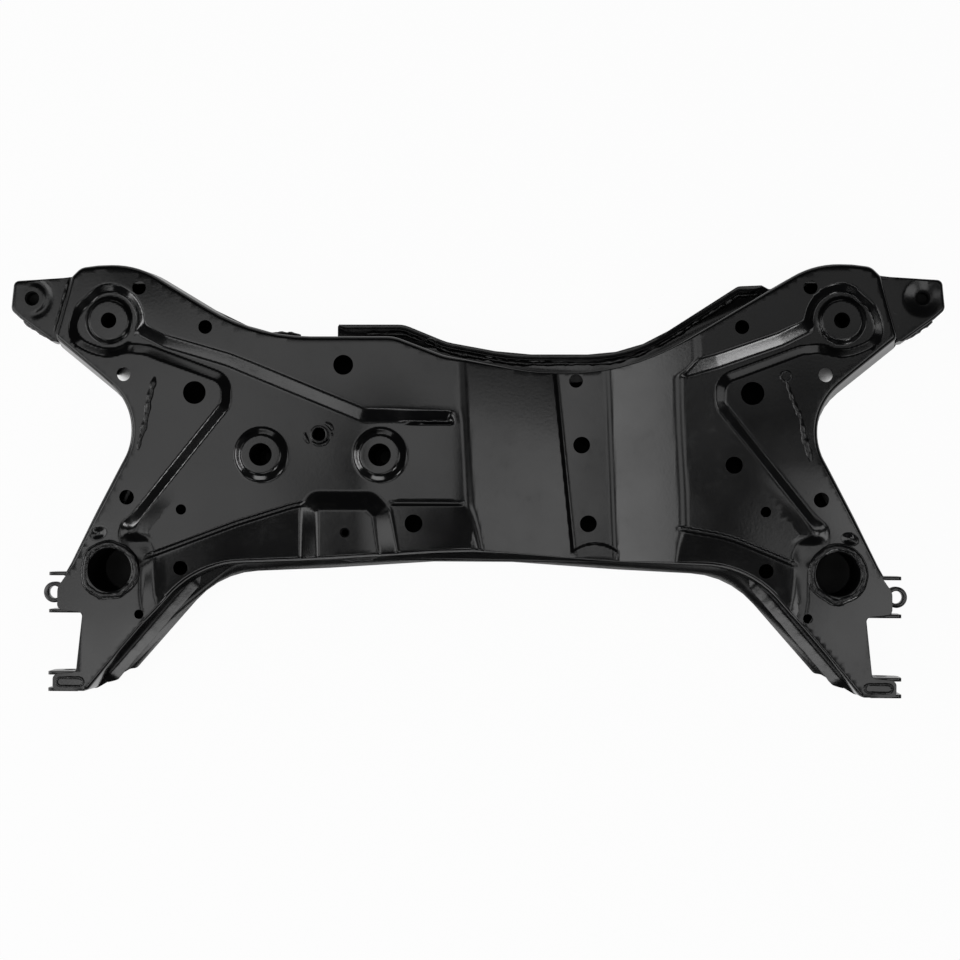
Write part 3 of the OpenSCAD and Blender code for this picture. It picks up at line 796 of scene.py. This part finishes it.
def softened(node, width, paint, segments=2, lift=0.0):
    """A copy of a CAD node with rounded edges; lift raises its top up to the plate."""
    bm = bmesh.new()
    bm.from_mesh(nodes[node].data)
    bmesh.ops.scale(bm, vec=(1000, 1000, 1000), verts=bm.verts)
    bmesh.ops.remove_doubles(bm, verts=bm.verts, dist=0.002)
    bmesh.ops.dissolve_limit(bm, angle_limit=math.radians(0.6), verts=bm.verts, edges=bm.edges)
    bmesh.ops.translate(bm, vec=(0, 0, lift), verts=[v for v in bm.verts if v.co.z > lift_above])
    edges = [e for e in bm.edges if e.is_manifold and e.calc_face_angle() > math.radians(30)]
    bmesh.ops.bevel(
        bm, geom=edges, offset=width, offset_type="OFFSET", affect="EDGES", segments=segments,
        profile=0.5, material=-1, clamp_overlap=True,
    )
    return piece("rounded_" + node, bm, paint, [node])


def paint_inside(obj, hidden):
    """Gives the inner finish to each face for which hidden says yes."""
    obj.data.materials.append(inner_paint)
    for face in obj.data.polygons:
        if hidden(face):
            face.material_index = 1


def faces_axis(face):
    """True for a face that looks at the axis of its sleeve."""
    away_x = face.center.x - math.copysign(sleeve_x * MM, face.center.x)
    away_y = face.center.y - sleeve_y * MM
    return face.normal.x * away_x + face.normal.y * away_y < -0.01


# %% [markdown]
# Parts in pairs come from one table. The limbs stand higher than in the CAD model, so the tops
# of the sleeves and brackets rise with them. What lies deep inside gets the dull inner finish.

# %% The smaller parts
paired_parts = [
    ("pivot_bracket", 0.9, plate_paint, 2, limb_rise),
    ("ear_bracket", 0.9, plate_paint, 2, limb_rise),
    ("tie_eye", 1.2, plate_paint, 3, 0.0),
    ("horn_nut", 0.8, inner_paint, 2, 0.0),
    ("pivot_nut", 0.8, inner_paint, 2, 0.0),
    ("pad_spacer", 0.6, inner_paint, 2, 0.0),
    ("rack_spacer", 0.6, inner_paint, 2, 0.0),
]
pan = softened("lower_shell", 0.9, plate_paint)
paint_inside(pan, lambda face: face.normal.z > 0.5 and face.center.z < 0.01)
for side in ("left", "right"):
    sleeve = softened(side + "_body_sleeve", 1.0, plate_paint, 3, limb_rise)
    paint_inside(sleeve, faces_axis)
    for part, width, paint, segments, lift in paired_parts:
        softened(f"{side}_{part}", width, paint, segments, lift)
softened("threaded_collar", 0.7, plate_paint)
softened("hat_nut", 0.6, inner_paint)
for name in ("left_gusset", "right_gusset"):
    nodes[name].data.materials.clear()
    nodes[name].data.materials.append(inner_paint)

# %% [markdown]
# The horn brackets are pressings of their own, so they go over a die like the upper shell: a
# flat on the left with a shallow crescent beside the bolt hole, a dish round the bolt hole on
# the right. Each runs into the skirt of the upper shell and has a short skirt of its own.

# %% The die of the horn brackets
horn_plan = [
    (405, 206, 1), (469, 202.5, 7), (472, 171.5, 9), (462, 162.5, 8), (429, 138.5, 4), (423.5, 139.5, 1),
]
horn_z, horn_skirt, horn_roll, horn_sheet = 63.0, 24.0, 3.0, 3.0
horn_bolt = (449.0, 183.5, 15.0)
root_a, root_b = np.array((405.0, 206.0)), np.array((423.5, 139.5))


def from_root(points):
    """Distance from the line along which a horn bracket meets the upper shell."""
    way = (root_b - root_a) / np.linalg.norm(root_b - root_a)
    away = np.stack((abs(points[..., 0]), points[..., 1]), axis=-1) - root_a
    return abs(away[..., 0] * way[1] - away[..., 1] * way[0])


def horn_height(points):
    """Height of a horn plate, the left one at negative x."""
    x, y = points.T
    r = round_at(np.stack((abs(x), y), axis=1), *horn_bolt[:2])
    dish = 1.6 * ramp(r - 8.5, 11, 1.5)
    inner = np.clip((horn_bolt[0] + 2 - abs(x)) / 8, 0, 1)
    crescent = 0.7 * ramp(r - 13, 2.5, 0.8) * (1 - ramp(r - 18, 4, 1.2)) * inner
    ring = 0.12 * (1 - ramp(r - 12, 1.2, 0.4))
    return horn_z + np.where(x > 0, dish, ring - crescent)


print("horn plates at", horn_z, "mm")

# %% [markdown]
# Both horns are formed in one loop. Along the root the edge is neither rolled nor let down.

# %% The pressed horn brackets
horn_cell = 4.0
for sign, side in ((-1, "left"), (1, "right")):
    outline = rounded(horn_plan if sign > 0 else flipped(horn_plan))
    after = np.roll(outline, -1, axis=0)
    if (after[:, 1] + outline[:, 1]) @ (after - outline)[:, 0] > 0:
        outline = outline[::-1]
    keep_in = lambda spots: np.where(from_root(spots) < 1.0, 0.0, 1.0)
    depth = keep_in(outline) + np.where(from_root(outline) < 3, 0.3, horn_roll)
    horn = blank(inset(outline, depth), [(sign * horn_bolt[0], *horn_bolt[1:])], horn_cell)
    split_bends(horn, horn_height, horn_cell, 0.2)
    split_bends(horn, horn_height, horn_cell / 2, 0.12)
    at_root = lambda spot: from_root(spot) < 1.0
    form(horn, horn_height, outline, keep_in, horn_z - horn_skirt, at_root)
    horn = thicken(horn, horn_sheet)
    piece(f"pressed_{side}_horn", horn, plate_paint, [side + "_horn_bracket"], crease=42)

# %% [markdown]
# A weld bead is a rope of lumps. One ring of points is swept from station to station along a
# path by extruding it; its width and height wander as the torch did, and a little noise along
# the normals leaves the ripples. The ring is a squared circle, so a bead is flat on top.

# %% Lay a weld bead
def stations(path, gap, closed):
    """Points at even gaps along a path in space, with the heading at each."""
    path = np.array(path, float)
    if closed:
        path = np.vstack((path, path[:1]))
    reach = np.r_[0, np.cumsum(np.linalg.norm(np.diff(path, axis=0), axis=1))]
    count = max(4, round(reach[-1] / gap))
    at = np.linspace(0, reach[-1], count, endpoint=not closed)
    spots = np.stack([np.interp(at, reach, path[:, k]) for k in range(3)], axis=1)
    if closed:
        ahead = np.roll(spots, -1, axis=0) - np.roll(spots, 1, axis=0)
    else:
        ahead = np.gradient(spots, axis=0)
    return spots, ahead / np.linalg.norm(ahead, axis=1)[:, None]


def bead(
    bm, path, half, rise, closed=False, gap=2.0, wander=0.25, lump=0.35, seed=1.0,
    section=None, square=2.6,
):
    """Adds one bead along a path: half its width, its rise, and how much both wander."""
    spots, ahead = stations(path, gap, closed)
    made = bmesh.ops.create_circle(bm, cap_ends=False, segments=12, radius=1)["verts"]
    ring = list(made)
    if section:
        for v, (x, z) in zip(ring, section):
            v.co = (x, z, 0)
    else:
        for v in ring:
            v.co /= (abs(v.co.x) ** square + abs(v.co.y) ** square) ** (1 / square)
    edges = list(dict.fromkeys(e for v in ring for e in v.link_edges))
    first, place = edges, Matrix()
    for k, (spot, way) in enumerate(zip(spots, ahead)):
        swell = 1 + wander * noise.noise(Vector((seed * 7.31, k * gap / 7, 0.4)))
        taper = 1 if closed else min(1, 0.45 + 0.2 * min(k, len(spots) - 1 - k))
        side = Vector((way[1], -way[0], 0)).normalized() * half * swell * taper
        heave = 1 + wander * noise.noise(Vector((seed * 3.7, k * gap / 5, 2.1)))
        up = Vector((0, 0, rise * heave * taper))
        goal = Matrix((side, up, Vector(way))).transposed().to_4x4()
        goal.translation = Vector(spot)
        if k:
            grown = bmesh.ops.extrude_edge_only(bm, edges=edges)["geom"]
            edges = only(grown, bmesh.types.BMEdge)
            ring = only(grown, bmesh.types.BMVert)
            made += ring
        bmesh.ops.transform(bm, matrix=goal @ place.inverted(), verts=ring)
        place = goal
    if closed:
        bmesh.ops.bridge_loops(bm, edges=list(first) + list(edges))
    else:
        bmesh.ops.holes_fill(bm, edges=list(first) + list(edges), sides=0)
    bmesh.ops.recalc_face_normals(bm, faces=bm.faces)
    bm.normal_update()
    for v in made:
        v.co += v.normal * lump * noise.noise(v.co * 0.4 + Vector((seed, 0, 0)))


def on_plate(path, lift=0.0):
    """A path on the plan, laid on the pressed plate."""
    path = np.array(path, float)
    return np.column_stack((path, plate_height(path) + lift))


def at_height(path, z):
    """A path on the plan, laid at one height."""
    return np.column_stack((path, np.full(len(path), z)))


def arc(x, y, r, start, end, count=24):
    turn = np.radians(np.linspace(start, end, count))
    return np.column_stack((x + r * np.cos(turn), y + r * np.sin(turn)))


print("beads can be laid")

# %% [markdown]
# The sleeves are welded all round, in a ragged ring that reaches further out where the torch
# stopped, and there a row of blobs lies beside it.

# %% Welds round the sleeves
sleeve_welds = bmesh.new()
for sign, seed, tip, far, first, last, count in (
    (-1, 2.0, 215, 28.5, 215, 262, 12),
    (1, 5.0, 268, 29, 250, 284, 9),
):
    ring = arc(0, 0, 1, 0, 360, 73)[:-1]
    turn = np.degrees(np.arctan2(ring[:, 1], ring[:, 0])) % 360
    reach = 25.9 + 0.5 * np.sin(np.radians(turn * 3 + 40 * seed))
    reach += 0.35 * np.sin(np.radians(turn * 7 + 90 * seed))
    reach += 2.2 * np.exp(-(((turn - tip + 180) % 360 - 180) / 16) ** 2)
    plan = at_height(ring * reach[:, None] + (sign * sleeve_x, sleeve_y), low_z + limb_rise + 0.6)
    bead(sleeve_welds, plan, 4.0, 4.0, True, 2.2, 0.2, 0.6, seed, square=5)
    blobs = arc(sign * sleeve_x, sleeve_y, far, first, last, count)
    bead(sleeve_welds, on_plate(blobs, 0.6), 3.0, 2.4, False, 2.0, 0.7, 0.7, seed + 1)
piece("sleeve_welds", sleeve_welds, weld_paint, crease=60)

# %% [markdown]
# The collar on the plateau only has a few blobs, and long scars on the outer islands show where
# the inner plates are welded through. Two slots on the ears are filled with weld.

# %% Welds on the plate
plate_welds = bmesh.new()
bead(plate_welds, on_plate([(-168, 47.5), (-167, 41), (-164, 36.5)], 0.8), 2.7, 3.0, seed=3)
bead(plate_welds, on_plate([(-147.5, 57), (-143, 55), (-140, 49.5)], 0.5), 3.4, 2.2, seed=4)
bead(plate_welds, on_plate([(-141, 47.5), (-140, 44)], 1.0), 1.6, 2.2, seed=6)
bead(plate_welds, on_plate(arc(-153, 45.4, 10.6, 220, 335), 0.2), 2.0, 2.2, seed=7)
left_scar = [(-319, 103), (-325, 80), (-328, 60), (-336, 29)]
bead(plate_welds, on_plate(left_scar, 0.1), 2.8, 1.7, False, 2.2, 0.6, 0.4, 8)
right_scar = [(312, 100), (318, 82), (327, 61), (330, 44), (337, 20)]
bead(plate_welds, on_plate(right_scar, 0.1), 2.9, 1.6, False, 2.2, 0.9, 0.6, 9)
bead(plate_welds, on_plate(arc(312, 104, 5.2, 0, 345), 0.1), 1.3, 0.9, True, 2.0, 0.3, 0.2, 10)
for sign in (-1, 1):
    x, y, half_slot, r = sign * 403.5, -204.5, 9.5, 4.2
    slot = np.vstack((arc(x + half_slot, y, r, -90, 90, 8), arc(x - half_slot, y, r, 90, 270, 8)))
    bead(plate_welds, on_plate(slot, 0.1), 1.5, 1.3, True, 2.0, 0.3, 0.25, 11 + sign)
piece("plate_welds", plate_welds, weld_paint, crease=60)

# %% [markdown]
# The two pressings meet in a seam. Along the front diagonals the flange rises to the skirt in a
# sloping lip, and the rear flange ends in a raised hem. Both are swept like a bead, but with a
# section of their own.

# %% Lips of the seam
rear_edge = rounded([
    (292, 200, 1), (268, 199, 10), (160, 129.5, 150), (40, 129.5, 200),
    (-28, 142, 60), (-72, 160, 30), (-139, 160, 1),
], closed=False)
diagonal = np.array([(283, -94), (330, -148.75), (378, -204.7)], float)[::-1]
lip_section = [
    (10.8, -0.2), (10.6, 0.3), (8, 0.9), (6, 1.3), (4, 1.75), (2, 2.15),
    (0.6, 2.4), (-0.6, 2.4), (-0.8, 1.2), (-0.8, -0.4), (3, -0.6), (8, -0.6),
]
hem_section = [
    (-0.1, -1), (-0.1, 0.6), (-0.9, 1.5), (-2.4, 2.4), (-4.0, 3.4), (-5.0, 3.9),
    (-5.8, 3.9), (-6.4, 3.4), (-6.6, 1.6), (-6.6, 0), (-5, -0.5), (-2, -1),
]
seams = bmesh.new()
for path, wander, seed, section in (
    (diagonal, 0.05, 1, [(-x, z) for x, z in lip_section]),
    (diagonal * (-1, 1), 0.05, 2, lip_section),
    (rear_edge, 0.04, 3, hem_section),
):
    bead(seams, at_height(path, seam_z), 1.0, 1.0, False, 3.0, wander, 0.0, seed, section)
piece("seam_lips", seams, plate_paint, crease=30)

# %% [markdown]
# A ragged bead runs beside the hem, short runs of weld stick out of the seam at the rear and
# below the hat, and each horn has a bead along its root and one below it.

# %% Welds of the seam
inner_rear = rear_edge[rear_edge[:, 0] > -75] + (0, -9.5)
inner_rear = np.vstack((inner_rear, [(-90, 150), (-110, 150.5)]))
seam_runs = [
    (inner_rear, seam_z + 0.4, 2.4, 2.6, 2.2, 0.8, 0.8, 14),
    ([(-48, 145), (-43.5, 143), (-38, 141)], seam_z + 1.5, 3.4, 4.0, 2.0, 0.4, 0.6, 15),
    ([(-216, 148.5), (-178, 148.5)], seam_z, 3.6, 3.0, 2.2, 0.7, 0.7, 16),
    ([(-134, -80.5), (-99, -78.5)], seam_z, 3.6, 3.0, 2.2, 0.7, 0.7, 17),
]
for sign in (-1, 1):
    low_root = np.array([(431.5, 143), (444, 151.5), (459, 161)]) * (sign, 1)
    seam_runs.append((low_root, horn_z - 7, 2.6, 4.0, 2.2, 0.6, 0.8, 18 + sign))
    root_run = np.array([(410.5, 205), (418, 178), (426.5, 148)]) * (sign, 1)
    seam_runs.append((root_run, horn_z - 0.8, 1.8, 2.0, 2.2, 0.5, 0.5, 21 + sign))
seam_welds = bmesh.new()
for path, z, half, rise, gap, wander, lump, seed in seam_runs:
    bead(seam_welds, at_height(path, z), half, rise, False, gap, wander, lump, seed)
piece("seam_welds", seam_welds, weld_paint, crease=60)

# %% [markdown]
# Through the rear gauge holes a folded edge of the inner flange shows as a straight bar.

# %% Folded edges below the rear gauge holes
folds = bmesh.new()
bar_size = Matrix.Diagonal((17, 6.4, 2.6, 1))
for sign in (-1, 1):
    place = Matrix.Translation((sign * 337, 199.6, 74.1))
    made = bmesh.ops.create_cube(folds, size=1, matrix=place @ bar_size)["verts"]
    edges = dict.fromkeys(e for v in made for e in v.link_edges)
    rims = [e for e in edges if abs(e.verts[0].co.x - e.verts[1].co.x) > 5]
    bmesh.ops.bevel(
        folds, geom=rims, offset=0.9, offset_type="OFFSET", affect="EDGES", segments=3,
        profile=0.5, material=-1,
    )
piece("folded_inner_edges", folds, plate_paint)

# %% [markdown]
# The picture is taken from straight above, a touch from the right and the front. The camera's
# place comes from lining up the bolt holes with their places in the picture.

# %% Camera
view_distance = 2000 * MM
aim = Vector((8.6 * MM, 0.2 * MM, 75 * MM))
turn = (
    Matrix.Rotation(math.radians(1.253), 4, "X")
    @ Matrix.Rotation(math.radians(2.644), 4, "Y")
    @ Matrix.Rotation(math.radians(0.215), 4, "Z")
)
camera = bpy.data.objects.new("camera", bpy.data.cameras.new("camera"))
bpy.context.scene.collection.objects.link(camera)
sensor_mm, focal_pixels, picture_pixels = 36, 2002.9, 960
camera.data.sensor_width = sensor_mm
camera.data.lens = sensor_mm * focal_pixels / picture_pixels
camera.matrix_world = Matrix.Translation(aim) @ turn @ Matrix.Translation((0, 0, view_distance))
camera.data.clip_end = 50
bpy.context.scene.camera = camera
print("camera at", tuple(round(c, 3) for c in camera.location))

# %% [markdown]
# Black gloss paint shows the room more than the light, so the lamps are panels that stand where
# the reflections should be. Eight face straight down, and each sets the grey of one area of the
# plate. Eight more stand round the frame for the slopes and edges, the lower ones for the
# steeper slopes. What faces the gaps between them stays dark.

# %% Lamps
def panel(name, place, size, strength, target=(0, 0, 0.06)):
    """A soft rectangular lamp that faces the frame; strength is its brightness as seen."""
    lamp = bpy.data.lights.new(name, "AREA")
    lamp.shape = "RECTANGLE"
    lamp.size, lamp.size_y = size
    lamp.energy = strength * math.pi * size[0] * size[1]
    obj = bpy.data.objects.new(name, lamp)
    obj.location = place
    obj.rotation_euler = (Vector(target) - Vector(place)).to_track_quat("-Z", "Y").to_euler()
    bpy.context.scene.collection.objects.link(obj)
    return obj


for name, place, size, strength in (
    ("overhead_left", (-0.84, 0.12, 2.7), (0.68, 0.75), 1.4),
    ("limb_left", (-0.95, -0.42, 2.7), (0.45, 0.45), 2.6),
    ("horn_left", (-1.3, 0.5, 2.7), (0.35, 0.4), 1.2),
    ("rear_centre", (-0.35, 0.45, 2.7), (0.7, 0.45), 1.3),
    ("over_trough", (0.05, 0.12, 2.7), (0.4, 0.7), 1.6),
    ("right_rear", (0.62, 0.5, 2.7), (0.7, 0.4), 0.5),
    ("limb_right", (0.85, -0.3, 2.7), (0.5, 0.66), 2.0),
    ("front_overhead", (-0.1, -1.15, 2.7), (0.8, 0.35), 4.0),
):
    panel(name, place, size, strength, (place[0], place[1], 0))
for name, place, size, strength in (
    ("left_high", (-1.5, -0.2, 1.85), (1.1, 0.7), 3.0),
    ("left_low", (-2.1, 0.45, 0.92), (1.2, 0.5), 1.0),
    ("left_floor", (-2.15, -0.3, 0.42), (1.6, 0.4), 6.5),
    ("right_high", (1.45, -0.12, 2.05), (0.9, 0.7), 2.0),
    ("front_left", (-1.5, -1.84, 1.85), (0.6, 0.5), 2.5),
    ("front_right", (1.37, -1.76, 1.88), (0.5, 0.5), 11.0),
    ("rear_low", (0, 2.2, 0.6), (1.4, 0.5), 1.1),
    ("front_floor", (-0.6, -2.15, 0.42), (1.2, 0.35), 4.0),
):
    panel(name, place, size, strength)
print("lamps:", len(bpy.data.lights))

# %% [markdown]
# The room itself is almost dark, with just enough light to lift the deepest black.

# %% The dim room
room_light = 0.03
world = bpy.data.worlds.new("studio")
bpy.context.scene.world = world
world.use_nodes = True
room = world.node_tree.nodes["Background"]
room.inputs["Color"].default_value = (1, 1, 1, 1)
room.inputs["Strength"].default_value = room_light
bpy.context.scene.view_settings.view_transform = "Standard"
print("room light:", room_light)

# %% [markdown]
# The floor is one large pale square, just below the frame.

# %% The floor
floor_bm = bmesh.new()
bmesh.ops.create_grid(floor_bm, x_segments=1, y_segments=1, size=6)
floor_mesh = bpy.data.meshes.new("floor")
floor_bm.to_mesh(floor_mesh)
floor_bm.free()
floor = bpy.data.objects.new("floor", floor_mesh)
floor.location.z = cad_low.z - 0.0005
bpy.context.scene.collection.objects.link(floor)
print("floor at", round(floor.location.z, 4))

# %% [markdown]
# To the camera the open floor is plain white, but below the frame and inside its holes it has
# to stay dark. Ambient occlusion tells the two apart: the wide one finds the open floor, the
# close one the small patches seen through holes, which get a faint painted light. Below the
# frame the white glow fades and the floor's own colour darkens, a painted shadow on top of the
# real one. In the paint's reflections the floor shows less bright the nearer it lies to the
# frame, a painted shade.

# %% The white of the floor, with painted shade and light
floor_paint = bpy.data.materials.new("floor_white_with_painted_shade")
floor_paint.use_nodes = True
floor_tree = floor_paint.node_tree
floor_shader = floor_tree.nodes["Principled BSDF"]
floor_shader.inputs["Roughness"].default_value = 0.9
floor_wire = Wire(floor_tree)
seen = floor_wire.add("ShaderNodeLightPath", {}, {}, "Is Camera Ray")
mirrored = Wire(floor_tree, seen.socket.node.outputs["Is Glossy Ray"])
occlusion = "ShaderNodeAmbientOcclusion"
open_wide = floor_wire.add(occlusion, {"samples": 24}, {"Distance": 0.3}, "AO")
open_close = floor_wire.add(occlusion, {"samples": 16}, {"Distance": 0.05}, "AO")
# Painted shadow: the floor's own colour goes from pale to nearly black below the frame.
pale_with_painted_shadow = between(floor_wire, open_wide, 0.15, 0.32, 0.04, 0.86)
grey = floor_wire.add(
    "ShaderNodeCombineColor", {}, {"Red": pale_with_painted_shadow, "Green": pale_with_painted_shadow, "Blue": pale_with_painted_shadow}, "Color"
)
floor_tree.links.new(grey.socket, floor_shader.inputs["Base Color"])
glow = floor_wire.add(
    "ShaderNodeEmission", {}, {"Color": (1, 1, 1, 1), "Strength": 1.0}, "Emission"
)
# The white glow fades out below the frame, which leaves a painted shadow edge round it.
open_share = between(floor_wire, open_wide, 0.17, 0.32, 0.0, 0.96)
# Painted light: a faint glow on the shaded floor seen through the holes.
hole_painted_light_share = between(floor_wire, open_close, 0.6, 0.9, 0.0, 0.09)
# Painted shade: in reflections the floor glows less the nearer it lies to the frame.
mirrored_white_with_painted_shade = between(floor_wire, open_wide, 0.32, 1.0, 0.0, 0.85)
white = open_share + hole_painted_light_share * (1 - open_share)
share = seen * white + mirrored * mirrored_white_with_painted_shade
mixed = floor_wire.add("ShaderNodeMixShader", {}, {0: share, 2: glow}, "Shader")
floor_tree.links.new(floor_shader.outputs["BSDF"], mixed.socket.node.inputs[1])
floor_tree.links.new(mixed.socket, floor_tree.nodes["Material Output"].inputs["Surface"])
floor_mesh.materials.append(floor_paint)
print("floor finish:", floor_paint.name)
